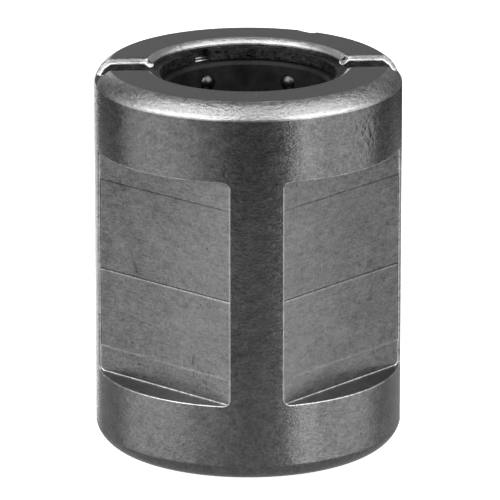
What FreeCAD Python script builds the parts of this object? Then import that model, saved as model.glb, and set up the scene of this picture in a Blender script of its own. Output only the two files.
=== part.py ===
import FreeCAD, Part

import math
import os

import Sketcher

# A stroke-type linear ball bushing, in millimetres, +Z up, origin at the centre of its lower end face.
# A one-piece hardened sleeve holds a sliding ball cage between two internal stop rings. Four windows are
# milled flat into the sleeve between two full-round ends, and the upper end face has a milled cross slot.

# Driving dimensions: alias, value, meaning. Lengths are in millimetres and angles in degrees.
DRIVING_SIZES = [
    ("outer_diameter", 32.0, "fit diameter of the sleeve"),
    ("sleeve_length", 40.3, "length over both end faces"),
    ("race_diameter", 20.1, "bore that the balls roll on"),
    ("mouth_chamfer", 0.65, "45 degree chamfer at each bore mouth"),
    ("lead_in_width", 1.5, "outer end chamfer, measured radially"),
    ("lead_in_height", 1.75, "outer end chamfer, measured along the axis"),
    ("knee_width", 0.56, "outside to the knee that splits the end chamfer in two cones"),
    ("knee_height", 0.71, "end face to that knee"),
    ("flat_distance", 12.94, "axis to the shallow milling passes"),
    ("flat_width", 18.3, "width of a milled window"),
    ("flat_bottom", 8.15, "lower edge of the windows"),
    ("flat_top", 32.0, "upper edge of the windows"),
    ("flat_corner", 0.7, "corner radius of the windows"),
    ("flat_turn", 45.0, "first window's turn from the front"),
    ("pass_depth", 0.06, "extra depth of the two middle milling passes"),
    ("pass_bottom", 10.9, "lower edge of the middle passes"),
    ("pass_middle", 19.25, "line where the middle passes meet"),
    ("pass_top", 28.95, "upper edge of the middle passes"),
    ("scallop_width", 0.24, "width of the line between the middle passes"),
    ("scallop_depth", 0.07, "depth of that line"),
    ("slot_width", 3.8, "cross slot in the upper end face"),
    ("slot_depth", 1.7, "depth of the cross slot"),
    ("slot_break", 0.42, "45 degree edge break along the slot"),
    ("slot_offset", 0.4, "slot centre behind the axis"),
    ("dent_radius", 2.4, "curve of the small dent in the upper rim"),
    ("dent_depth", 0.25, "depth of the dent"),
    ("dent_start", 14.0, "axis to the inner end of the dent"),
    ("dent_turn", 151.0, "turn of the dent from the front"),
    ("ring_inset", 0.95, "end face to the stop ring"),
    ("ring_thickness", 1.0, "stop ring along the axis"),
    ("ring_play", 0.04, "play of a stop ring in its groove"),
    ("ring_inner_diameter", 18.4, "opening of a stop ring"),
    ("groove_diameter", 21.4, "bottom of a stop ring groove"),
    ("ring_gap", 12.0, "opening between a stop ring's ends"),
    ("ring_gap_direction", 117.5, "direction of the gap from +X"),
    ("cage_outer_diameter", 19.5, "ball cage outside"),
    ("cage_inner_diameter", 16.8, "ball cage inside"),
    ("cage_length", 24.0, "ball cage along the axis"),
    ("cage_chamfer", 0.3, "edges of the cage"),
    ("cage_play", 0.1, "cage to upper stop ring, as modelled"),
    ("shaft_diameter", 16.0, "shaft that the balls carry"),
    ("ball_diameter", 2.0, "steel ball"),
    ("ball_play", 0.02, "running play over the shaft, on the diameter"),
    ("pocket_play", 0.12, "play of a ball in its pocket, on the diameter"),
    ("row_pitch", 2.5, "one row of balls to the next"),
    ("row_turn", 20.0 / 3.0, "each row's turn from the row above"),
    ("first_ball_direction", 57.0, "direction of the upper row's first ball from +X"),
]

BALL_ROWS = 9
BALLS_PER_ROW = 6
WINDOWS = 4

# How closely an edge has to match a position, in millimetres.
TOLERANCE = 1e-4

# Sizes that follow from the driving ones: alias, formula, meaning.
DERIVED_SIZES = [
    ("ring_groove_height", "=ring_thickness + ring_play", "stop ring groove along the axis"),
    ("ball_circle_radius", "=(shaft_diameter + ball_diameter + ball_play) / 2", "ball centres from the axis"),
    ("cage_top", "=sleeve_length - ring_inset - ring_groove_height - cage_play", "upper end of the cage"),
    ("rows_length", "=%d * row_pitch" % (BALL_ROWS - 1), "first to last row of balls"),
    ("first_row_height", "=cage_top - (cage_length - rows_length) / 2", "upper row of balls"),
]


def add_sizes(doc):
    """Fill the spreadsheet with the driving dimensions and the sizes that follow from them."""
    sheet = doc.addObject("Spreadsheet::Sheet", "Sizes")
    driving = [(alias, repr(round(value, 6)), meaning) for alias, value, meaning in DRIVING_SIZES]
    for number, (alias, content, meaning) in enumerate(driving + DERIVED_SIZES, start=1):
        sheet.set("A%d" % number, meaning)
        sheet.set("B%d" % number, content)
        sheet.setAlias("B%d" % number, alias)
    doc.recompute()


def add_body(doc, label):
    """Start a sub-part at the shared origin."""
    body = doc.addObject("PartDesign::Body", label)
    body.Label = label
    body.Placement = FreeCAD.Placement()
    return body


def origin_feature(body, role):
    """Return one of a body's own origin planes or axes."""
    return next(feature for feature in body.Origin.OriginFeatures if feature.Role == role)


def add_sketch(body, name, role="XZ_Plane", turn=None, distance=None):
    """Attach a sketch to an origin plane, turned about Z and then moved out along its own normal."""
    sketch = body.newObject("Sketcher::SketchObject", name)
    sketch.AttachmentSupport = [(origin_feature(body, role), "")]
    sketch.MapMode = "FlatFace"
    if turn is not None:
        upright = FreeCAD.Vector(0, 1, 0)
        sketch.AttachmentOffset = FreeCAD.Placement(FreeCAD.Vector(), FreeCAD.Rotation(upright, 1))
        sketch.setExpression("AttachmentOffset.Rotation.Angle", turn)
    if distance is not None:
        sketch.setExpression("AttachmentOffset.Base.x", "%s * sin(%s)" % (distance, turn))
        sketch.setExpression("AttachmentOffset.Base.z", "%s * cos(%s)" % (distance, turn))
    return sketch


def bind(sketch, kind, *arguments):
    """Add a dimension to a sketch; the last argument is the formula that drives it."""
    index = sketch.addConstraint(Sketcher.Constraint(kind, *arguments[:-1], 1.0))
    sketch.setExpression("Constraints[%d]" % index, arguments[-1])


def place_point(sketch, geometry, end, across, up):
    """Hold one end of a line or arc at a distance from the sketch's origin."""
    bind(sketch, "DistanceX", -1, 1, geometry, end, across)
    bind(sketch, "DistanceY", -1, 1, geometry, end, up)


def add_outline(sketch, corners):
    """Draw a closed outline of straight lines whose corners are pairs of formulas."""
    first = sketch.GeometryCount
    count = len(corners)
    start = [FreeCAD.Vector(1 + number, number % 3, 0) for number in range(count)]
    for number in range(count):
        sketch.addGeometry(Part.LineSegment(start[number], start[(number + 1) % count]), False)
    for number in range(count):
        following = first + (number + 1) % count
        sketch.addConstraint(Sketcher.Constraint("Coincident", first + number, 2, following, 1))
    for number, (across, up) in enumerate(corners):
        place_point(sketch, first + number, 1, across, up)


def add_rounded_window(sketch, half_width, bottom, top, corner):
    """Draw an upright rectangle with rounded corners, centred on the sketch's vertical axis."""
    # Start with unit corners on a 10 by 10 square; the dimensions below move every point to its place.
    inner, outer = 4.0, 5.0
    sides = [
        (FreeCAD.Vector(-inner, -outer, 0), FreeCAD.Vector(inner, -outer, 0)),
        (FreeCAD.Vector(outer, -inner, 0), FreeCAD.Vector(outer, inner, 0)),
        (FreeCAD.Vector(inner, outer, 0), FreeCAD.Vector(-inner, outer, 0)),
        (FreeCAD.Vector(-outer, inner, 0), FreeCAD.Vector(-outer, -inner, 0)),
    ]
    for begin, end in sides:
        sketch.addGeometry(Part.LineSegment(begin, end), False)
    centres = [(inner, -inner), (inner, inner), (-inner, inner), (-inner, -inner)]
    for quarter, (across, up) in enumerate(centres):
        circle = Part.Circle(FreeCAD.Vector(across, up, 0), FreeCAD.Vector(0, 0, 1), outer - inner)
        begin = math.radians(90 * quarter - 90)
        sketch.addGeometry(Part.ArcOfCircle(circle, begin, begin + math.radians(90)), False)
    for side in range(4):
        arc = 4 + side
        sketch.addConstraint(Sketcher.Constraint("Tangent", side, 2, arc, 1))
        sketch.addConstraint(Sketcher.Constraint("Tangent", arc, 2, (side + 1) % 4, 1))
        bind(sketch, "Radius", arc, corner)
    for side in (0, 2):
        sketch.addConstraint(Sketcher.Constraint("Horizontal", side))
        sketch.addConstraint(Sketcher.Constraint("Vertical", side + 1))
    bind(sketch, "DistanceY", -1, 1, 0, 1, bottom)
    bind(sketch, "DistanceX", -1, 1, 1, 1, half_width)
    bind(sketch, "DistanceY", -1, 1, 2, 1, top)
    bind(sketch, "DistanceX", -1, 1, 3, 1, "-" + half_width)


def revolve(body, sketch, name, cut=False):
    """Turn a sketch once round the vertical axis, as new material or as a cut."""
    kind = "PartDesign::Groove" if cut else "PartDesign::Revolution"
    feature = body.newObject(kind, name)
    feature.Profile = sketch
    feature.ReferenceAxis = (sketch, ["V_Axis"])
    feature.Angle = 360.0
    return feature


def pocket(body, sketch, name, outwards=False, symmetric=False, length=None):
    """Cut a sketch through everything on one side or on both, or to a given length."""
    feature = body.newObject("PartDesign::Pocket", name)
    feature.Profile = sketch
    feature.Reversed = outwards
    feature.SideType = "Symmetric" if symmetric else "One side"
    if length is None:
        feature.Type = "ThroughAll"
    else:
        feature.Type = "Length"
        feature.setExpression("Length", length)
    return feature


def repeat_around(body, originals, count, name):
    """Repeat features evenly round the vertical axis."""
    pattern = body.newObject("PartDesign::PolarPattern", name)
    pattern.Originals = originals
    pattern.Axis = (origin_feature(body, "Z_Axis"), [""])
    pattern.Angle = 360.0
    pattern.Occurrences = count
    body.Tip = pattern
    return pattern


def add_sleeve_blank(body):
    """Turned blank: outer diameter, race, end chamfers and the two stop ring grooves."""
    section = add_sketch(body, "sleeve_section")
    outside, inside = "Sizes.outer_diameter / 2", "Sizes.race_diameter / 2"
    mouth = inside + " + Sizes.mouth_chamfer"
    face_edge, knee = outside + " - Sizes.lead_in_width", outside + " - Sizes.knee_width"
    length = "Sizes.sleeve_length"
    add_outline(
        section,
        [
            (mouth, "0"),
            (face_edge, "0"),
            (knee, "Sizes.knee_height"),
            (outside, "Sizes.lead_in_height"),
            (outside, length + " - Sizes.lead_in_height"),
            (knee, length + " - Sizes.knee_height"),
            (face_edge, length),
            (mouth, length),
            (inside, length + " - Sizes.mouth_chamfer"),
            (inside, "Sizes.mouth_chamfer"),
        ],
    )
    revolve(body, section, "turned_blank")

    grooves = add_sketch(body, "ring_groove_sections")
    start, bottom = inside + " - 0.5", "Sizes.groove_diameter / 2"
    low, high = "Sizes.ring_inset", "Sizes.ring_inset + Sizes.ring_groove_height"
    for lower, upper in ((low, high), ("%s - (%s)" % (length, high), "%s - %s" % (length, low))):
        add_outline(grooves, [(start, lower), (bottom, lower), (bottom, upper), (start, upper)])
    revolve(body, grooves, "ring_grooves", cut=True)


def add_milled_windows(body):
    """Four flat windows, each with two deeper middle passes and the line between them."""
    turn = "Sizes.flat_turn"
    window = add_sketch(body, "window_outline", turn=turn, distance="Sizes.flat_distance")
    half_width = "Sizes.flat_width / 2"
    add_rounded_window(window, half_width, "Sizes.flat_bottom", "Sizes.flat_top", "Sizes.flat_corner")
    first = pocket(body, window, "window", outwards=True)

    deeper = "(Sizes.flat_distance - Sizes.pass_depth)"
    passes = add_sketch(body, "pass_outline", turn=turn, distance=deeper)
    add_outline(
        passes,
        [
            ("-" + half_width, "Sizes.pass_bottom"),
            (half_width, "Sizes.pass_bottom"),
            (half_width, "Sizes.pass_top"),
            ("-" + half_width, "Sizes.pass_top"),
        ],
    )
    second = pocket(body, passes, "middle_passes", outwards=True)

    line = add_sketch(body, "scallop_section", turn="(%s - 90)" % turn)
    surface, depth = deeper, "Sizes.scallop_depth"
    add_outline(
        line,
        [
            ("%s - %s" % (surface, depth), "Sizes.pass_middle"),
            ("%s + %s" % (surface, depth), "Sizes.pass_middle - Sizes.scallop_width"),
            ("%s + %s" % (surface, depth), "Sizes.pass_middle + Sizes.scallop_width"),
        ],
    )
    third = pocket(body, line, "pass_line", symmetric=True, length="Sizes.flat_width")
    repeat_around(body, [first, second, third], WINDOWS, "windows")


def wall_edges(shape, walls, wanted):
    """Name the edges that lie in one of the slot's walls and whose bounding box is wanted."""
    names = []
    for number, edge in enumerate(shape.Edges, start=1):
        box = edge.BoundBox
        in_wall = any(abs(box.YMin - wall) + abs(box.YMax - wall) < TOLERANCE for wall in walls)
        if in_wall and wanted(box):
            names.append("Edge%d" % number)
    return names


def break_edges(body, name, feature, edges):
    """Chamfer the named edges of a feature by the slot's edge break."""
    chamfer = body.newObject("PartDesign::Chamfer", name)
    chamfer.Base = (feature, edges)
    chamfer.setExpression("Size", "Sizes.slot_break")
    body.Document.recompute()
    return chamfer


def add_cross_slot(body):
    """Slot across the upper end face along X, with the edges of its walls broken from the bore to the rim."""
    section = add_sketch(body, "slot_section", role="YZ_Plane")
    top, half = "Sizes.sleeve_length", "Sizes.slot_width / 2"
    floor, above = top + " - Sizes.slot_depth", top + " + Sizes.slot_break"
    front, back = "Sizes.slot_offset - " + half, "Sizes.slot_offset + " + half
    add_outline(section, [(front, floor), (back, floor), (back, above), (front, above)])
    slot = pocket(body, section, "cross_slot", symmetric=True)
    body.Document.recompute()

    sizes = body.Document.getObject("Sizes")
    walls = [sizes.slot_offset - sizes.slot_width / 2, sizes.slot_offset + sizes.slot_width / 2]
    face_edge = sizes.outer_diameter / 2 - sizes.lead_in_width

    def at_face_or_mouth(box):
        return box.ZMax > sizes.sleeve_length - TOLERANCE and max(-box.XMin, box.XMax) < face_edge

    def along_lead_in(box):
        return max(-box.XMin, box.XMax) > face_edge and box.ZLength > TOLERANCE

    # The end face and bore mouth come first: the lead-in edges are then cut back to meet them.
    inner_break = break_edges(body, "inner_edge_break", slot, wall_edges(slot.Shape, walls, at_face_or_mouth))
    break_edges(body, "outer_edge_break", inner_break, wall_edges(inner_break.Shape, walls, along_lead_in))


def add_rim_dent(body):
    """Small rounded dent across the outer rim of the upper end face."""
    outline = add_sketch(body, "dent_outline", turn="Sizes.dent_turn", distance="Sizes.dent_start")
    circle = Part.Circle(FreeCAD.Vector(0, 1, 0), FreeCAD.Vector(0, 0, 1), 1)
    outline.addGeometry(circle, False)
    bind(outline, "Radius", 0, "Sizes.dent_radius")
    place_point(outline, 0, 3, "0", "Sizes.sleeve_length + Sizes.dent_radius - Sizes.dent_depth")
    pocket(body, outline, "rim_dent", outwards=True)


def build_sleeve(doc):
    """One-piece outer sleeve."""
    body = add_body(doc, "outer_sleeve")
    add_sleeve_blank(body)
    add_milled_windows(body)
    add_cross_slot(body)
    add_rim_dent(body)
    return body


def build_stop_ring(doc, label, lower_face):
    """Internal snap ring, open at one place, that stops the cage."""
    body = add_body(doc, label)
    section = add_sketch(body, label + "_section", turn="(Sizes.ring_gap_direction + Sizes.ring_gap / 2)")
    inner = "Sizes.ring_inner_diameter / 2"
    outer = "(Sizes.groove_diameter - Sizes.ring_play) / 2"
    upper_face = lower_face + " + Sizes.ring_thickness"
    add_outline(section, [(inner, lower_face), (outer, lower_face), (outer, upper_face), (inner, upper_face)])
    ring = revolve(body, section, label + "_turn")
    ring.setExpression("Angle", "360 - Sizes.ring_gap")
    return body


def ball_centre(row, position):
    """Return the three formulas for the centre of one ball, counted from the top and from +X."""
    step = 360.0 / BALLS_PER_ROW
    angle = "(Sizes.first_ball_direction + %d * Sizes.row_turn + %g)" % (row, step * position)
    across = "Sizes.ball_circle_radius * cos(%s)" % angle
    deep = "Sizes.ball_circle_radius * sin(%s)" % angle
    return across, deep, "Sizes.first_row_height - %d * Sizes.row_pitch" % row


def place_ball(feature, row, position, radius):
    """Bind a sphere's radius and centre."""
    feature.setExpression("Radius", radius)
    for letter, formula in zip("xyz", ball_centre(row, position)):
        feature.setExpression("Placement.Base." + letter, formula)


def build_cage(doc):
    """Sliding cage: a chamfered tube with a round pocket for every ball."""
    body = add_body(doc, "ball_cage")
    section = add_sketch(body, "cage_section")
    inner, outer = "Sizes.cage_inner_diameter / 2", "Sizes.cage_outer_diameter / 2"
    top, edge = "Sizes.cage_top", "Sizes.cage_chamfer"
    bottom = top + " - Sizes.cage_length"
    add_outline(
        section,
        [
            (inner, bottom),
            ("%s - %s" % (outer, edge), bottom),
            (outer, "%s + %s" % (bottom, edge)),
            (outer, "%s - %s" % (top, edge)),
            ("%s - %s" % (outer, edge), top),
            ("%s + %s" % (inner, edge), top),
            (inner, "%s - %s" % (top, edge)),
        ],
    )
    revolve(body, section, "cage_tube")
    for row in range(BALL_ROWS):
        cut = body.newObject("PartDesign::SubtractiveSphere", "pocket_row_%d" % (row + 1))
        place_ball(cut, row, 0, "(Sizes.ball_diameter + Sizes.pocket_play) / 2")
        doc.recompute()
        repeat_around(body, [cut], BALLS_PER_ROW, "pockets_row_%d" % (row + 1))
    return body


def build_balls(doc):
    """Every ball of every row as a piece of its own."""
    balls = []
    for row in range(BALL_ROWS):
        for position in range(BALLS_PER_ROW):
            label = "ball_row%d_pos%d" % (row + 1, position + 1)
            ball = doc.addObject("Part::Sphere", label)
            ball.Label = label
            place_ball(ball, row, position, "Sizes.ball_diameter / 2")
            balls.append(ball)
    return balls


def check_document(doc):
    """Stop at any failed object and at any cut that removed nothing."""
    for item in doc.Objects:
        if {"Invalid", "Error"} & set(item.State):
            raise RuntimeError("%s: %s" % (item.Name, item.State))
    cuts = ("PartDesign::Groove", "PartDesign::Pocket", "PartDesign::SubtractiveSphere")
    for item in doc.Objects:
        if item.TypeId in cuts and item.Shape.Volume >= item.BaseFeature.Shape.Volume - 1e-4:
            raise RuntimeError("%s cuts nothing" % item.Name)


def write_parts(parts):
    """Write each sub-part to its own STEP file, once all of them are sound."""
    for part in parts:
        if part.Shape.isNull() or not part.Shape.isValid() or len(part.Shape.Solids) != 1:
            raise RuntimeError("%s isn't one valid solid" % part.Label)
    os.makedirs("parts", exist_ok=True)
    for part in parts:
        part.Shape.exportStep("parts/%s.step" % part.Label)
        print("%-20s %10.3f mm3" % (part.Label, part.Shape.Volume))


def main():
    doc = FreeCAD.newDocument("linear_ball_bushing")
    add_sizes(doc)
    upper_ring_face = "Sizes.sleeve_length - Sizes.ring_inset - Sizes.ring_thickness"
    parts = [
        build_sleeve(doc),
        build_stop_ring(doc, "upper_stop_ring", upper_ring_face),
        build_stop_ring(doc, "lower_stop_ring", "Sizes.ring_inset"),
        build_cage(doc),
    ]
    parts += build_balls(doc)
    doc.recompute()
    check_document(doc)
    write_parts(parts)


main()
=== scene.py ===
import math

import bmesh
import bpy
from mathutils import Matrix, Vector


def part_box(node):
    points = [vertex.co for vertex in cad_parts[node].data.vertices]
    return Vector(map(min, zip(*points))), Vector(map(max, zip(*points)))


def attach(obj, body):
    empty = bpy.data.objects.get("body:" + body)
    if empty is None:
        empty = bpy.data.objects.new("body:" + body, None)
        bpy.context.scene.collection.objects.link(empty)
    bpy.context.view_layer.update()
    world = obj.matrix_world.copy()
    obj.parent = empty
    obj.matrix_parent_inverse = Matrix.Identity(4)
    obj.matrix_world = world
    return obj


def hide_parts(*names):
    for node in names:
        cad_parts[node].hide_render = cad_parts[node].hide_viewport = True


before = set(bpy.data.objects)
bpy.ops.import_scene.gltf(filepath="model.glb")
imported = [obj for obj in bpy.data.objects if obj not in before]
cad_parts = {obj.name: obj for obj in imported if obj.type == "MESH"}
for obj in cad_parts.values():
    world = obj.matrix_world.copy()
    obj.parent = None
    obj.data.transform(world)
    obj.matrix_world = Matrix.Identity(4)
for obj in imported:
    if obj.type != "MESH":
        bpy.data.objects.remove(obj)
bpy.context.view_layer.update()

MM = 0.001

# The sleeve's outline comes from the frame; its details are the design's own sizes.
SLEEVE_LOW, SLEEVE_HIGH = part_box("outer_sleeve")
OUTER_R = (SLEEVE_HIGH.x - SLEEVE_LOW.x) / 2
LENGTH = SLEEVE_HIGH.z - SLEEVE_LOW.z
RACE_R = 10.05 * MM
MOUTH_CHAMFER = 0.65 * MM
LEAD_IN_WIDTH = 1.5 * MM
LEAD_IN_HEIGHT = 1.75 * MM
KNEE_WIDTH = 0.56 * MM
KNEE_HEIGHT = 0.71 * MM
GROOVE_R = 10.7 * MM
GROOVE_INSET = 0.95 * MM
GROOVE_HEIGHT = 1.04 * MM
FLAT_DISTANCE = 12.94 * MM
FLAT_HALF_WIDTH = 9.15 * MM
FLAT_BOTTOM = 8.15 * MM
FLAT_TOP = 32.0 * MM
FLAT_CORNER = 0.7 * MM
PASS_DEPTH = 0.06 * MM
PASS_BOTTOM = 10.9 * MM
PASS_MIDDLE = 19.25 * MM
PASS_TOP = 28.95 * MM
PASS_SLOPE = 0.05 * MM
SCALLOP_HALF_WIDTH = 0.12 * MM
SCALLOP_DEPTH = 0.07 * MM
SLOT_FRONT = -1.5 * MM
SLOT_BACK = 2.3 * MM
SLOT_DEPTH = 1.7 * MM
SLOT_BREAK = 0.42 * MM
DENT_RADIUS = 2.4 * MM
DENT_DEPTH = 0.25 * MM
DENT_START = 14.0 * MM
DENT_TURN = 151.0
WINDOW_TURNS = (45.0, 135.0, 225.0, 315.0)
EDGE_ROUND = 0.11 * MM
LEAD_IN_STEPS = 10
MOUTH_BULGE = 0.09 * MM
MOUTH_STEPS = 6
ROUND_SEGMENTS = 360

# Soft boxes: name, azimuth (0 in front, positive to the right) and elevation in degrees, distance, width and
# height in metres, and radiance.
LIGHTS = (
    ("left_box", -76, 0, 0.30, 0.34, 0.36, 0.93),
    ("left_fill", -34, 0, 0.32, 0.14, 0.36, 0.4),
    ("right_box", 74, 0, 0.30, 0.30, 0.36, 0.96),
    ("right_inner", 39, 0, 0.30, 0.07, 0.36, 2.2),
    ("left_high", -55, 43, 0.30, 0.30, 0.27, 4.3),
    ("right_high", 57, 43, 0.30, 0.30, 0.27, 3.3),
    ("front_high", 0, 52, 0.30, 0.26, 0.18, 1.1),
    ("back_card", 180, 20, 0.35, 0.40, 0.16, 0.5),
    ("rim_box", -165, 5, 0.30, 0.06, 0.30, 2.0),
    ("table_bounce", 0, -90, LENGTH / 2, 0.20, 0.20, 0.33),
)
WORLD_STRENGTH = 0.09
FLOOR_RADIUS = 1.5
FLOOR_GLOW = 0.85

# How far the wear reaches in from the upright edges of a window.
WORN_REACH = 0.35 * MM

# Small marks on the steel, in millimetres in the part's frame.
ROUGH_PATCH = (10.4, -12.2, 35.4)
ROUGH_PATCH_RADIUS = 4.2
SCRATCH_PLACE = (-5.3, -12.9, 11.1)
SCRATCH_RADIUS = 3.2
FACE_SCRATCH = (0.15, -11.65)

# How bright and how rough the surfaces are.
STEEL_GREY = 0.17
# The bore's grey is set low as painted shade inside the bore.
BORE_GREY = 0.1
# The slot's grey is set low as painted shade in the slot.
SLOT_GREY = 0.065
RING_GREY = 0.045
CAGE_GREY = 0.008
# The balls' grey is set low as painted shade inside the bore.
BALL_GREY = 0.08
DARKEST_GREY = 0.004
FACE_GREY = 0.073
LEAD_IN_GREY = 0.26
WORN_GREY = 0.5
TURNED_ROUGHNESS = 0.26
MILLED_ROUGHNESS = 0.34
FACE_ROUGHNESS = 0.38
LEAD_IN_ROUGHNESS = 0.45
WORN_ROUGHNESS = 0.36
BORE_ROUGHNESS = 0.4
SLOT_ROUGHNESS = 0.5
RING_ROUGHNESS = 0.55
CAGE_ROUGHNESS = 0.5
BALL_ROUGHNESS = 0.34

# Camera: how the sleeve is seen. Lens and sensor are in millimetres, the other lengths in outer radii.
CAMERA_AZIMUTH = -3.25
CAMERA_ELEVATION = 17.06
CAMERA_DISTANCE = 40.65
LENS = 447.888
SENSOR_WIDTH = 36.0
AIM_HEIGHT = 1.25
AIM_RIGHT = 0.01255
AIM_UP = 0.0072


def new_object(name, mesh):
    """Link a mesh to the scene under a name."""
    made = bpy.data.objects.new(name, mesh)
    bpy.context.scene.collection.objects.link(made)
    return made


def mesh_from(name, points, faces):
    """Make a mesh with outward normals from points and faces."""
    mesh = bpy.data.meshes.new(name)
    mesh.from_pydata(points, [], faces)
    shape = bmesh.new()
    shape.from_mesh(mesh)
    bmesh.ops.recalc_face_normals(shape, faces=shape.faces)
    shape.to_mesh(mesh)
    shape.free()
    return mesh


def turned_ring(name, profile, segments, phase):
    """Turn a closed profile of (radius, height) points once round the Z axis."""
    points, faces = [], []
    count = len(profile)
    for step in range(segments):
        angle = 2 * math.pi * (step + phase) / segments
        points += [(r * math.cos(angle), r * math.sin(angle), z) for r, z in profile]
    for step in range(segments):
        here, there = step * count, ((step + 1) % segments) * count
        for number in range(count):
            after = (number + 1) % count
            faces.append((here + number, there + number, there + after, here + after))
    return mesh_from(name, points, faces)


def prism(name, outline, near, far, place):
    """Extrude an outline of (across, up) points from near to far; place maps (across, out, up) to a point."""
    count = len(outline)
    points = [place(across, near, up) for across, up in outline]
    points += [place(across, far, up) for across, up in outline]
    faces = [tuple(range(count)), tuple(range(2 * count - 1, count - 1, -1))]
    for number in range(count):
        after = (number + 1) % count
        faces.append((number, count + number, count + after, after))
    return new_object(name, mesh_from(name, points, faces))


def out_of_side(turn):
    """Return a placing function whose out direction points from the axis, turned from the front."""
    sine, cosine = math.sin(math.radians(turn)), math.cos(math.radians(turn))

    def place(across, out, up):
        return (across * cosine + out * sine, across * sine - out * cosine, up)

    return place


def rounded_rectangle(half_width, bottom, top, corner, steps=8):
    """Return the outline of an upright rectangle with rounded corners."""
    outline = []
    centres = (
        (half_width - corner, bottom + corner, -90),
        (half_width - corner, top - corner, 0),
        (corner - half_width, top - corner, 90),
        (corner - half_width, bottom + corner, 180),
    )
    for across, up, begin in centres:
        for step in range(steps + 1):
            angle = math.radians(begin + 90 * step / steps)
            outline.append((across + corner * math.cos(angle), up + corner * math.sin(angle)))
    return outline


def apply_modifiers(target):
    """Replace an object's mesh by the result of its modifiers."""
    graph = bpy.context.evaluated_depsgraph_get()
    mesh = bpy.data.meshes.new_from_object(target.evaluated_get(graph))
    target.modifiers.clear()
    target.data = mesh


def cut_away(target, cutters):
    """Cut solids from an object, one after another, and remove them."""
    for cutter in cutters:
        modifier = target.modifiers.new("cut", "BOOLEAN")
        modifier.operation = "DIFFERENCE"
        modifier.solver = "EXACT"
        modifier.object = cutter
        apply_modifiers(target)
        bpy.data.objects.remove(cutter)


def round_edges(target, width, material, segments=4, angle=35):
    """Round every sharp edge; the new faces get a material slot of their own."""
    modifier = target.modifiers.new("edges", "BEVEL")
    modifier.width = width
    modifier.segments = segments
    modifier.limit_method = "ANGLE"
    modifier.angle_limit = math.radians(angle)
    modifier.use_clamp_overlap = False
    modifier.material = material
    apply_modifiers(target)


def keep_inside(target):
    """Bring the corners that rounding pushed out back to the sleeve's own outline."""
    for vertex in target.data.vertices:
        place = vertex.co
        place.z = min(max(place.z, 0.0), LENGTH)
        radius = math.hypot(place.x, place.y)
        if radius > OUTER_R:
            place.x *= OUTER_R / radius
            place.y *= OUTER_R / radius


def smooth_by_angle(target, angle=24):
    """Shade smoothly except across sharp edges, with flat faces kept flat."""
    for polygon in target.data.polygons:
        polygon.use_smooth = True
    target.data.set_sharp_from_angle(angle=math.radians(angle))
    modifier = target.modifiers.new("normals", "WEIGHTED_NORMAL")
    modifier.keep_sharp = True
    apply_modifiers(target)


def arc_through(first, middle, last, steps):
    """Points on the circular arc through three points, from the first to the last."""
    (ax, ay), (bx, by), (cx, cy) = first, middle, last
    area = 2 * (ax * (by - cy) + bx * (cy - ay) + cx * (ay - by))
    a, b, c = ax * ax + ay * ay, bx * bx + by * by, cx * cx + cy * cy
    x = (a * (by - cy) + b * (cy - ay) + c * (ay - by)) / area
    y = (a * (cx - bx) + b * (ax - cx) + c * (bx - ax)) / area
    radius = math.hypot(ax - x, ay - y)
    begin, end = math.atan2(ay - y, ax - x), math.atan2(cy - y, cx - x)
    angles = [begin + (end - begin) * step / steps for step in range(steps + 1)]
    return [(x + radius * math.cos(angle), y + radius * math.sin(angle)) for angle in angles]


def sleeve_profile():
    """Closed section of the turned blank, from the lower bore round the outside and back down the bore."""
    face_r, mouth_r = OUTER_R - LEAD_IN_WIDTH, RACE_R + MOUTH_CHAMFER
    low, high = GROOVE_INSET, GROOVE_INSET + GROOVE_HEIGHT
    knee = (OUTER_R - KNEE_WIDTH, KNEE_HEIGHT)
    bulge = MOUTH_BULGE * math.sqrt(0.5)
    lip = ((RACE_R + mouth_r) / 2 - bulge, MOUTH_CHAMFER / 2 - bulge)
    half = [
        (RACE_R, high),
        (GROOVE_R, high),
        (GROOVE_R, low),
        (RACE_R, low),
        *arc_through((RACE_R, MOUTH_CHAMFER), lip, (mouth_r, 0.0), MOUTH_STEPS),
        *arc_through((face_r, 0.0), knee, (OUTER_R, LEAD_IN_HEIGHT), LEAD_IN_STEPS),
    ]
    return half + [(r, LENGTH - z) for r, z in reversed(half)]


def window_cutters():
    """The four milled windows."""
    outline = rounded_rectangle(FLAT_HALF_WIDTH, FLAT_BOTTOM, FLAT_TOP, FLAT_CORNER)
    far = OUTER_R + 2 * MM
    return [prism("window", outline, FLAT_DISTANCE, far, out_of_side(turn)) for turn in WINDOW_TURNS]


def slot_cutter():
    """The slot across the upper face."""
    floor, above = LENGTH - SLOT_DEPTH, LENGTH + 1 * MM
    outline = [(SLOT_FRONT, floor), (SLOT_BACK, floor), (SLOT_BACK, above), (SLOT_FRONT, above)]
    reach = OUTER_R + 1 * MM
    return prism("slot", outline, -reach, reach, lambda across, out, up: (out, across, up))


def unit_normal(first, second):
    """Unit normal of a stretch, on its left when walking from the first point to the second."""
    across, up = second[0] - first[0], second[1] - first[1]
    size = math.hypot(across, up)
    return -up / size, across / size


def mitre(before, after):
    """The way to move a corner so that both stretches beside it move out by one unit."""
    across, up = before[0] + after[0], before[1] + after[1]
    share = 1 + before[0] * after[0] + before[1] * after[1]
    return across / share, up / share


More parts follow.
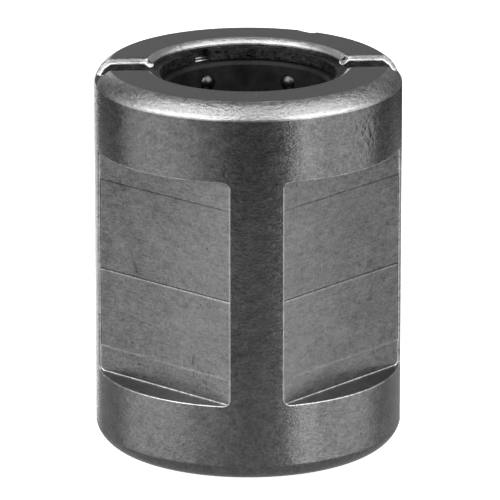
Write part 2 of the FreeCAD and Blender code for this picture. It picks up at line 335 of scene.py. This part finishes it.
def slot_break_path(wall):
    """Corners of a slot wall's upper outline, from the bore to the rim, each with its mitre."""
    mouth_r, knee_r = RACE_R + MOUTH_CHAMFER, OUTER_R - KNEE_WIDTH
    knee_z = LENGTH - KNEE_HEIGHT
    below_knee = (SLOT_DEPTH - KNEE_HEIGHT) / (LEAD_IN_HEIGHT - KNEE_HEIGHT)
    corners = [
        (RACE_R - SLOT_BREAK, LENGTH - MOUTH_CHAMFER - SLOT_BREAK),
        (mouth_r, LENGTH),
        (OUTER_R - LEAD_IN_WIDTH, LENGTH),
        (knee_r, knee_z),
        (knee_r + KNEE_WIDTH * below_knee, LENGTH - SLOT_DEPTH),
    ]
    corners = [(math.sqrt(r * r - wall * wall), z) for r, z in corners]
    normals = [unit_normal(corners[number], corners[number + 1]) for number in range(len(corners) - 1)]
    inner = [mitre(normals[number], normals[number + 1]) for number in range(len(normals) - 1)]
    foot = (1 / normals[-1][0], 0.0)
    return list(zip(corners, [normals[0], *inner, foot]))


def slot_break_cutter(wall, into, side):
    """Cut at 45 degrees along one slot wall. Into is the way into the material, side the end of the slot."""
    spare = 0.1 * MM
    triangle = ((-SLOT_BREAK - spare, -spare), (spare, SLOT_BREAK + spare), (spare, -spare))
    path = slot_break_path(wall)
    points = []
    for (across, up), (offset_across, offset_up) in path:
        for offset, deep in triangle:
            x = side * (across + offset * offset_across)
            points.append((x, wall + into * deep, up + offset * offset_up))
    last = 3 * (len(path) - 1)
    faces = [(0, 1, 2), (last, last + 2, last + 1)]
    for start in range(0, last, 3):
        for corner in range(3):
            after = (corner + 1) % 3
            faces.append((start + corner, start + 3 + corner, start + 3 + after, start + after))
    return new_object("slot_break", mesh_from("slot_break", points, faces))


def slot_break_cutters():
    """The four edge breaks of the slot."""
    walls = ((SLOT_FRONT, -1), (SLOT_BACK, 1))
    return [slot_break_cutter(wall, into, side) for wall, into in walls for side in (-1, 1)]


def dent_cutter():
    """The small dent in the upper rim."""
    centre = LENGTH + DENT_RADIUS - DENT_DEPTH
    steps = 64
    outline = [
        (
            DENT_RADIUS * math.cos(2 * math.pi * step / steps),
            centre + DENT_RADIUS * math.sin(2 * math.pi * step / steps),
        )
        for step in range(steps)
    ]
    return prism("dent", outline, DENT_START, OUTER_R + 1 * MM, out_of_side(DENT_TURN))


def pass_cutters():
    """The deeper middle passes of each window, with gently sloped steps, and the line between them."""
    made = []
    inset = 0.12 * MM
    width = FLAT_HALF_WIDTH - inset
    floor, above = FLAT_DISTANCE - PASS_DEPTH, FLAT_DISTANCE + PASS_DEPTH
    steps = [
        (PASS_BOTTOM - PASS_SLOPE, above),
        (PASS_BOTTOM + PASS_SLOPE, floor),
        (PASS_MIDDLE - SCALLOP_HALF_WIDTH, floor),
        (PASS_MIDDLE, floor - SCALLOP_DEPTH),
        (PASS_MIDDLE + SCALLOP_HALF_WIDTH, floor),
        (PASS_TOP - PASS_SLOPE, floor),
        (PASS_TOP + PASS_SLOPE, above),
    ]
    outline = [(out, up) for up, out in steps]
    for turn in WINDOW_TURNS:
        side = out_of_side(turn)

        def place(out, across, up, side=side):
            return side(across, out, up)

        made.append(prism("pass", outline, -width, width, place))
    return made


def region_of(polygon):
    """Name the surface that a sleeve polygon belongs to, from where it is and the way it faces."""
    centre, normal = polygon.center, polygon.normal
    radius = math.hypot(centre.x, centre.y)
    outwards = (centre.x * normal.x + centre.y * normal.y) / radius
    end = min(centre.z, LENGTH - centre.z)
    below_mouth = end > MOUTH_CHAMFER / 2
    if below_mouth and radius < RACE_R + MOUTH_CHAMFER and abs(normal.z) < 0.5 and outwards < 0:
        return "bore"
    if SLOT_FRONT < centre.y < SLOT_BACK and centre.z > LENGTH - LEAD_IN_HEIGHT and abs(normal.x) < 0.1:
        return "slot"
    if abs(normal.z) > 0.95 and end < 0.1 * MM:
        return "face"
    if end < LEAD_IN_HEIGHT and abs(normal.z) > 0.1:
        return "lead_in" if centre.z > LENGTH / 2 else "turned"
    if outwards > 0.999 and radius > OUTER_R - 0.1 * MM:
        return "turned"
    if end < LEAD_IN_HEIGHT:
        return "slot"
    return "milled"


def face_outwards(target):
    """Turn every face outwards if the mesh is inside out."""
    shape = bmesh.new()
    shape.from_mesh(target.data)
    if shape.calc_volume(signed=True) < 0:
        bmesh.ops.reverse_faces(shape, faces=shape.faces)
    shape.to_mesh(target.data)
    shape.free()


def build_sleeve():
    """The outer sleeve with rounded edges, standing for its CAD node."""
    sleeve = new_object("sleeve_visual", turned_ring("sleeve_visual", sleeve_profile(), ROUND_SEGMENTS, 0.5))
    cut_away(sleeve, [*window_cutters(), slot_cutter(), *slot_break_cutters(), dent_cutter()])
    regions = ("turned", "worn", "milled", "face", "lead_in", "bore", "slot")
    makers = (turned_steel, worn_steel, milled_steel, faced_steel, lead_in_steel, bore_steel, slot_steel)
    sleeve.data.materials.clear()
    for make in makers:
        sleeve.data.materials.append(make())
    round_edges(sleeve, EDGE_ROUND, material=regions.index("worn"))
    keep_inside(sleeve)
    cut_away(sleeve, pass_cutters())
    face_outwards(sleeve)
    smooth_by_angle(sleeve)
    for polygon in sleeve.data.polygons:
        if polygon.material_index != regions.index("worn"):
            polygon.material_index = regions.index(region_of(polygon))
    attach(sleeve, "sleeve")
    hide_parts("outer_sleeve")


# Materials. Every pattern is in object space, in millimetres.


class Nodes:
    """A material's node tree, with short ways to add nodes and join them."""

    def __init__(self, name):
        self.material = bpy.data.materials.new(name)
        self.material.use_nodes = True
        self.tree = self.material.node_tree
        self.shader = self.tree.nodes["Principled BSDF"]
        place = self.tree.nodes.new("ShaderNodeTexCoord").outputs["Object"]
        scale = self.tree.nodes.new("ShaderNodeVectorMath")
        scale.operation = "SCALE"
        scale.inputs["Scale"].default_value = 1 / MM
        self.tree.links.new(place, scale.inputs[0])
        self.place = scale.outputs["Vector"]

    def join(self, value, socket):
        """Set a socket to a number or vector, or link another node's output to it."""
        if isinstance(value, bpy.types.NodeSocket):
            self.tree.links.new(value, socket)
        else:
            socket.default_value = value

    def maths(self, operation, first, second=0.0):
        """One Math node."""
        node = self.tree.nodes.new("ShaderNodeMath")
        node.operation = operation
        self.join(first, node.inputs[0])
        self.join(second, node.inputs[1])
        return node.outputs[0]

    def stretched(self, across, along, up):
        """The place, stretched by a factor along each axis."""
        node = self.tree.nodes.new("ShaderNodeVectorMath")
        node.operation = "MULTIPLY"
        self.join(self.place, node.inputs[0])
        node.inputs[1].default_value = (across, along, up)
        return node.outputs["Vector"]

    def split(self):
        """The x, y and z of the place."""
        node = self.tree.nodes.new("ShaderNodeSeparateXYZ")
        self.join(self.place, node.inputs[0])
        return node.outputs[0], node.outputs[1], node.outputs[2]

    def radius(self):
        """The distance from the part's axis."""
        x, y, _ = self.split()
        squares = self.maths("ADD", self.maths("MULTIPLY", x, x), self.maths("MULTIPLY", y, y))
        return self.maths("SQRT", squares)

    def noise(self, scale, detail=2.0, roughness=0.5, place=None):
        """Noise from about -1 to 1; scale is in cells per millimetre."""
        node = self.tree.nodes.new("ShaderNodeTexNoise")
        self.join(place or self.place, node.inputs["Vector"])
        node.inputs["Scale"].default_value = scale
        node.inputs["Detail"].default_value = detail
        node.inputs["Roughness"].default_value = roughness
        spread = self.maths("SUBTRACT", node.outputs["Fac"], 0.5)
        return self.maths("MULTIPLY", spread, 4.0)

    def ramp(self, value, low, high, start=0.0, end=1.0):
        """Smooth step of a value from start at low to end at high."""
        node = self.tree.nodes.new("ShaderNodeMapRange")
        node.interpolation_type = "SMOOTHSTEP"
        self.join(value, node.inputs["Value"])
        node.inputs["From Min"].default_value = low
        node.inputs["From Max"].default_value = high
        node.inputs["To Min"].default_value = start
        node.inputs["To Max"].default_value = end
        return node.outputs["Result"]

    def pits(self, scale, size):
        """1 in small round spots, thinly scattered, and 0 elsewhere."""
        node = self.tree.nodes.new("ShaderNodeTexVoronoi")
        self.join(self.place, node.inputs["Vector"])
        node.inputs["Scale"].default_value = scale
        return self.ramp(node.outputs["Distance"], size * scale * 0.5, size * scale, 1.0, 0.0)

    def near(self, value, middle, width):
        """1 where a value is at the middle, falling to 0 at a width from it."""
        offset = self.maths("SUBTRACT", value, middle)
        return self.ramp(self.maths("ABSOLUTE", offset), 0.3 * width, width, 1.0, 0.0)

    def near_point(self, point, radius):
        """1 at a point in millimetres, falling to 0 at a radius from it."""
        node = self.tree.nodes.new("ShaderNodeVectorMath")
        node.operation = "DISTANCE"
        self.join(self.place, node.inputs[0])
        node.inputs[1].default_value = point
        return self.ramp(node.outputs["Value"], 0.4 * radius, radius, 1.0, 0.0)

    def weighted(self, *terms):
        """Sum of (value, weight) terms."""
        total = 0.0
        for value, weight in terms:
            total = self.maths("ADD", self.maths("MULTIPLY", value, weight), total)
        return total

    def finish(self, grey, shade, roughness, height, depth, metallic=1.0):
        """Give the shader a grey times (1 + shade), a roughness, and a bump of a height in millimetres."""
        factor = self.maths("ADD", shade, 1.0)
        level = self.maths("MAXIMUM", self.maths("MULTIPLY", factor, grey), DARKEST_GREY)
        colour = self.tree.nodes.new("ShaderNodeCombineColor")
        for channel in range(3):
            self.join(level, colour.inputs[channel])
        self.join(colour.outputs["Color"], self.shader.inputs["Base Color"])
        self.join(roughness, self.shader.inputs["Roughness"])
        self.shader.inputs["Metallic"].default_value = metallic
        bump = self.tree.nodes.new("ShaderNodeBump")
        bump.inputs["Strength"].default_value = 1.0
        bump.inputs["Distance"].default_value = depth * MM
        self.join(height, bump.inputs["Height"])
        self.join(bump.outputs["Normal"], self.shader.inputs["Normal"])
        return self.material


def oxide(nodes):
    """Shade, roughness and height of the mottled, grainy surface that the hardened steel shares."""
    clouds = nodes.noise(0.16, 4.0, 0.6)
    blotches = nodes.noise(0.7, 4.0, 0.65, nodes.stretched(1.0, 1.0, 1.6))
    specks = nodes.noise(2.0, 2.0, 0.6, nodes.stretched(1.0, 1.0, 1.8))
    grain = nodes.noise(4.5, 2.0, 0.6, nodes.stretched(1.0, 1.0, 1.8))
    shade = nodes.weighted((clouds, 0.12), (blotches, 0.2), (specks, 0.22), (grain, 0.3))
    roughness = nodes.weighted((blotches, 0.03), (specks, 0.03))
    height = nodes.weighted((blotches, 0.4), (specks, 0.5), (grain, 0.4))
    return shade, roughness, height


def turned_steel():
    """Turned and hardened outside, with a rough patch near the upper rim that is also painted lighter as a
    painted highlight.
    """
    nodes = Nodes("sleeve_turned")
    shade, roughness, height = oxide(nodes)
    pits = nodes.pits(0.45, 0.16)
    patch = nodes.near_point(ROUGH_PATCH, ROUGH_PATCH_RADIUS)
    crust = nodes.maths("MULTIPLY", nodes.noise(1.7, 2.0, 0.5), patch)
    # The whole rough patch is painted lighter (patch, 0.12): a painted highlight on the upper band at the
    # right; its crust is the steel's own.
    shade = nodes.weighted((shade, 1.1), (pits, -0.6), (patch, 0.12), (crust, 0.15))
    roughness = nodes.maths("ADD", roughness, TURNED_ROUGHNESS)
    height = nodes.weighted((height, 1.3), (pits, -1.5), (crust, 3.2))
    return nodes.finish(STEEL_GREY, shade, roughness, height, 0.012)


def milled_steel():
    """Flat windows: milled across, worn along their upright edges, painted lighter towards the edge beside
    the front or back land as a painted sheen, with three lines between the passes.
    """
    nodes = Nodes("sleeve_milled")
    shade, roughness, height = oxide(nodes)
    x, y, z = nodes.split()
    streaks = nodes.noise(1.0, 3.0, 0.6, nodes.stretched(0.5, 0.5, 6.0))
    pits = nodes.pits(0.4, 0.15)
    across = nodes.maths("SUBTRACT", nodes.maths("ABSOLUTE", y), nodes.maths("ABSOLUTE", x))
    offset = nodes.maths("MULTIPLY", across, math.sqrt(0.5))
    reach = nodes.maths("ABSOLUTE", offset)
    half_width = FLAT_HALF_WIDTH / MM
    # Painted sheen: each flat is painted lighter across its width, towards its upright edge beside the front
    # or back land.
    side = nodes.ramp(offset, -0.7 * half_width, half_width)
    ragged = nodes.maths("ADD", reach, nodes.maths("MULTIPLY", nodes.noise(1.6, 3.0, 0.7), 0.12))
    rim = nodes.ramp(ragged, half_width - WORN_REACH / MM, half_width - 0.5 * WORN_REACH / MM)
    stains = nodes.ramp(nodes.noise(0.55, 4.0, 0.7, nodes.stretched(1.0, 1.0, 1.7)), 0.25, 1.2)
    # The lines between the passes carry painted shade and painted highlights.
    painted_shade_lines, painted_highlight_lines = pass_line_shading(nodes, z)
    scratches = scratch_fan(nodes)
    shade = nodes.weighted(
        (shade, 1.0),
        (streaks, 0.14),
        (side, 0.34),
        (rim, 0.6),
        (stains, -0.4),
        (1.0, -0.18),
        (pits, -0.6),
        (painted_highlight_lines, 0.7),
        (painted_shade_lines, -0.5),
        (scratches, -0.45),
    )
    roughness = nodes.maths("ADD", roughness, MILLED_ROUGHNESS)
    height = nodes.weighted((height, 0.8), (streaks, 0.3), (pits, -1.5), (scratches, -1.0))
    return nodes.finish(STEEL_GREY, shade, roughness, height, 0.012)


def pass_line_shading(nodes, z):
    """Painted shade and painted highlights along the lines between the milling passes: where they are painted
    dark and where bright.
    """
    wobble = nodes.maths("MULTIPLY", nodes.noise(0.5, 2.0), 0.015)
    level = nodes.maths("ADD", z, wobble)
    broken = nodes.ramp(nodes.noise(0.8, 3.0), -0.8, 0.6, 0.5, 1.0)
    middle, half = PASS_MIDDLE / MM, 0.5 * SCALLOP_HALF_WIDTH / MM
    top_line = nodes.near(level, PASS_TOP / MM, 0.13)
    dark = nodes.maths("MAXIMUM", top_line, nodes.near(level, middle + half, 0.13))
    low = nodes.maths("MULTIPLY", nodes.near(level, middle - 2 * half, 0.13), 0.5)
    bright = nodes.maths("MAXIMUM", nodes.near(level, PASS_BOTTOM / MM, 0.14), low)
    return nodes.maths("MULTIPLY", dark, broken), nodes.maths("MULTIPLY", bright, broken)


def scratch_fan(nodes):
    """Short crossing scratches near the lower corner of one front window."""
    patch = nodes.near_point(SCRATCH_PLACE, SCRATCH_RADIUS)
    steep = nodes.ramp(nodes.noise(0.9, 1.0, 0.5, nodes.stretched(5.0, 5.0, 0.7)), 0.5, 0.85)
    shallow = nodes.ramp(nodes.noise(1.1, 1.0, 0.5, nodes.stretched(1.2, 1.2, 4.0)), 0.6, 1.0)
    lines = nodes.maths("MAXIMUM", steep, nodes.maths("MULTIPLY", shallow, 0.6))
    return nodes.maths("MULTIPLY", lines, patch)


def faced_steel():
    """End faces: turned flat, dark, with faint rings and one fine bright scratch."""
    nodes = Nodes("sleeve_face")
    shade, roughness, height = oxide(nodes)
    x, y, _ = nodes.split()
    rings = nodes.tree.nodes.new("ShaderNodeTexNoise")
    rings.noise_dimensions = "1D"
    rings.inputs["Scale"].default_value = 4.0
    nodes.join(nodes.radius(), rings.inputs["W"])
    rings_level = nodes.maths("SUBTRACT", rings.outputs["Fac"], 0.5)
    lean = 0.1
    slanted = nodes.maths("ADD", x, nodes.maths("MULTIPLY", y, -lean))
    scratch_x, scratch_y = FACE_SCRATCH
    along = nodes.near(y, scratch_y, 1.3)
    scratch = nodes.maths("MULTIPLY", nodes.near(slanted, scratch_x - lean * scratch_y, 0.14), along)
    shade = nodes.weighted((shade, 0.5), (rings_level, 0.1), (scratch, 0.6))
    roughness = nodes.maths("ADD", roughness, FACE_ROUGHNESS)
    height = nodes.weighted((height, 0.5), (rings_level, 0.6), (scratch, -1.0))
    return nodes.finish(FACE_GREY, shade, roughness, height, 0.01)


def lead_in_steel():
    """Lead-in and mouth edge: brighter, with a torn speckle, a painted highlight on the mouth edge, and a
    smoother band next to the outside that also carries a painted highlight line.
    """
    nodes = Nodes("sleeve_lead_in")
    shade, roughness, height = oxide(nodes)
    _, _, z = nodes.split()
    torn = nodes.noise(1.5, 3.0, 0.65, nodes.stretched(1.0, 1.0, 2.6))
    mouth_r = (RACE_R + MOUTH_CHAMFER) / MM
    # Painted highlight: the mouth edge is painted lighter towards the bore.
    mouth = nodes.ramp(nodes.radius(), mouth_r, mouth_r + 1.0, 1.0, 0.0)
    # Next to the outside the lead-in is smoother and painted lighter: a smoother band that carries a painted
    # highlight line.
    burnish_and_highlight = nodes.ramp(z, (LENGTH - LEAD_IN_HEIGHT) / MM, (LENGTH - 0.6 * LEAD_IN_HEIGHT) / MM, 1.0, 0.0)
    shade = nodes.weighted((shade, 0.7), (torn, 0.14), (burnish_and_highlight, 0.9), (mouth, 0.7))
    roughness = nodes.weighted((roughness, 1.0), (torn, 0.04), (burnish_and_highlight, -0.12), (1.0, LEAD_IN_ROUGHNESS))
    rough_height = nodes.weighted((torn, 1.2), (height, 0.8))
    smooth = nodes.maths("SUBTRACT", 1.0, nodes.maths("MULTIPLY", burnish_and_highlight, 0.7))
    return nodes.finish(LEAD_IN_GREY, shade, roughness, nodes.maths("MULTIPLY", rough_height, smooth), 0.018)


def bore_steel():
    """Race and groove surfaces inside the bore: painted darker than the outside as painted shade inside the
    bore, and strongly mottled.
    """
    nodes = Nodes("sleeve_bore")
    shade, roughness, height = oxide(nodes)
    roughness = nodes.maths("ADD", roughness, BORE_ROUGHNESS)
    return nodes.finish(BORE_GREY, nodes.weighted((shade, 2.0)), roughness, height, 0.01)


def slot_steel():
    """Walls and floor of the slot: painted darker than the outside steel as painted shade in the slot."""
    nodes = Nodes("sleeve_slot")
    shade, roughness, height = oxide(nodes)
    roughness = nodes.maths("ADD", roughness, SLOT_ROUGHNESS)
    return nodes.finish(SLOT_GREY, nodes.weighted((shade, 1.5)), roughness, height, 0.02)


def worn_steel():
    """Rounded edges: the oxide is worn off unevenly, down to bright steel."""
    nodes = Nodes("sleeve_worn")
    shade, roughness, height = oxide(nodes)
    chips = nodes.noise(1.3, 3.0, 0.7)
    shade = nodes.weighted((shade, 1.0), (chips, 0.3))
    height = nodes.weighted((chips, 1.0), (height, 0.8))
    roughness = nodes.maths("ADD", roughness, WORN_ROUGHNESS)
    return nodes.finish(WORN_GREY, shade, roughness, height, 0.014)


def ring_steel():
    """Blackened spring steel of the stop rings."""
    nodes = Nodes("stop_ring")
    shade, roughness, height = oxide(nodes)
    roughness = nodes.maths("ADD", roughness, RING_ROUGHNESS)
    return nodes.finish(RING_GREY, nodes.weighted((shade, 3.0)), roughness, height, 0.012)


def cage_plastic():
    """Black moulded plastic of the cage, with a thin uneven oil film."""
    nodes = Nodes("cage")
    film = nodes.noise(0.5, 3.0, 0.6)
    grain = nodes.noise(6.0, 2.0, 0.6)
    shade = nodes.weighted((film, 0.5), (grain, 0.3))
    roughness = nodes.weighted((film, 0.12), (grain, 0.03), (1.0, CAGE_ROUGHNESS))
    nodes.shader.inputs["Specular IOR Level"].default_value = 0.2
    return nodes.finish(CAGE_GREY, shade, roughness, grain, 0.008, metallic=0.0)


def ball_steel():
    """Polished balls, painted dark as painted shade deep in the bore, with a patchy film."""
    nodes = Nodes("ball")
    film = nodes.noise(0.7, 3.0, 0.6)
    specks = nodes.noise(5.0, 2.0, 0.6)
    shade = nodes.weighted((film, 0.25), (specks, 0.1))
    roughness = nodes.weighted((film, 0.06), (specks, 0.03), (1.0, BALL_ROUGHNESS))
    return nodes.finish(BALL_GREY, shade, roughness, specks, 0.001)


def floor_paint():
    """White, lit from within so that it stays pale all over."""
    material = bpy.data.materials.new("floor")
    material.use_nodes = True
    shader = material.node_tree.nodes["Principled BSDF"]
    shader.inputs["Base Color"].default_value = (0.8, 0.8, 0.8, 1)
    shader.inputs["Roughness"].default_value = 0.9
    shader.inputs["Emission Color"].default_value = (1, 1, 1, 1)
    shader.inputs["Emission Strength"].default_value = FLOOR_GLOW
    return material


def area_light(name, azimuth, elevation, distance, width, height, radiance):
    """A soft box that faces the middle of the sleeve. Azimuth 0 is in front, positive to the right."""
    a, e = math.radians(azimuth), math.radians(elevation)
    out = Vector((math.sin(a) * math.cos(e), -math.cos(a) * math.cos(e), math.sin(e)))
    data = bpy.data.lights.new(name, "AREA")
    data.shape = "RECTANGLE"
    data.size, data.size_y = width, height
    data.energy = radiance * math.pi * width * height
    light = bpy.data.objects.new(name, data)
    light.visible_camera = False
    bpy.context.scene.collection.objects.link(light)
    centre = Vector((0, 0, LENGTH / 2))
    light.location = centre + out * distance
    light.rotation_mode = "QUATERNION"
    light.rotation_quaternion = (-out).to_track_quat("-Z", "Y")


def build_camera():
    """A long lens at the sleeve's height, looking slightly down."""
    a, e = math.radians(CAMERA_AZIMUTH), math.radians(CAMERA_ELEVATION)
    back = Vector((math.sin(a) * math.cos(e), -math.cos(a) * math.cos(e), math.sin(e)))
    data = bpy.data.cameras.new("camera")
    camera = bpy.data.objects.new("camera", data)
    bpy.context.scene.collection.objects.link(camera)
    data.sensor_width = SENSOR_WIDTH
    data.lens = LENS
    camera.rotation_mode = "QUATERNION"
    camera.rotation_quaternion = (-back).to_track_quat("-Z", "Y")
    right = camera.rotation_quaternion @ Vector((1, 0, 0))
    up = camera.rotation_quaternion @ Vector((0, 1, 0))
    aim = Vector((0, 0, AIM_HEIGHT)) + right * AIM_RIGHT + up * AIM_UP
    camera.location = (aim + back * CAMERA_DISTANCE) * OUTER_R
    data.clip_start, data.clip_end = 0.01, 10
    bpy.context.scene.camera = camera


def build_floor():
    """A large pale disc that the steel doesn't mirror."""
    mesh = bpy.data.meshes.new("floor")
    shape = bmesh.new()
    bmesh.ops.create_circle(shape, cap_ends=True, segments=96, radius=FLOOR_RADIUS)
    shape.to_mesh(mesh)
    shape.free()
    floor = new_object("floor", mesh)
    floor.data.materials.append(floor_paint())
    floor.visible_glossy = False
    floor.visible_diffuse = False
    floor.visible_shadow = False


def finish_inner_parts():
    """Give the CAD nodes inside the sleeve their materials."""
    ring, cage, ball = ring_steel(), cage_plastic(), ball_steel()
    own = {"ball_cage": cage, "upper_stop_ring": ring, "lower_stop_ring": ring}
    for name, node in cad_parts.items():
        node.data.materials.clear()
        node.data.materials.append(own.get(name, ball))


def build_world():
    """Dim even surroundings."""
    world = bpy.data.worlds.new("world")
    world.use_nodes = True
    background = world.node_tree.nodes["Background"]
    background.inputs["Color"].default_value = (1, 1, 1, 1)
    background.inputs["Strength"].default_value = WORLD_STRENGTH
    bpy.context.scene.world = world


def build_lights():
    """Soft boxes at both sides, high ones in front, and weaker ones behind and below."""
    for name, *place in LIGHTS:
        area_light(name, *place)


def main():
    build_sleeve()
    finish_inner_parts()
    build_floor()
    build_camera()
    build_lights()
    build_world()
    bpy.context.scene.view_settings.view_transform = "Standard"


main()
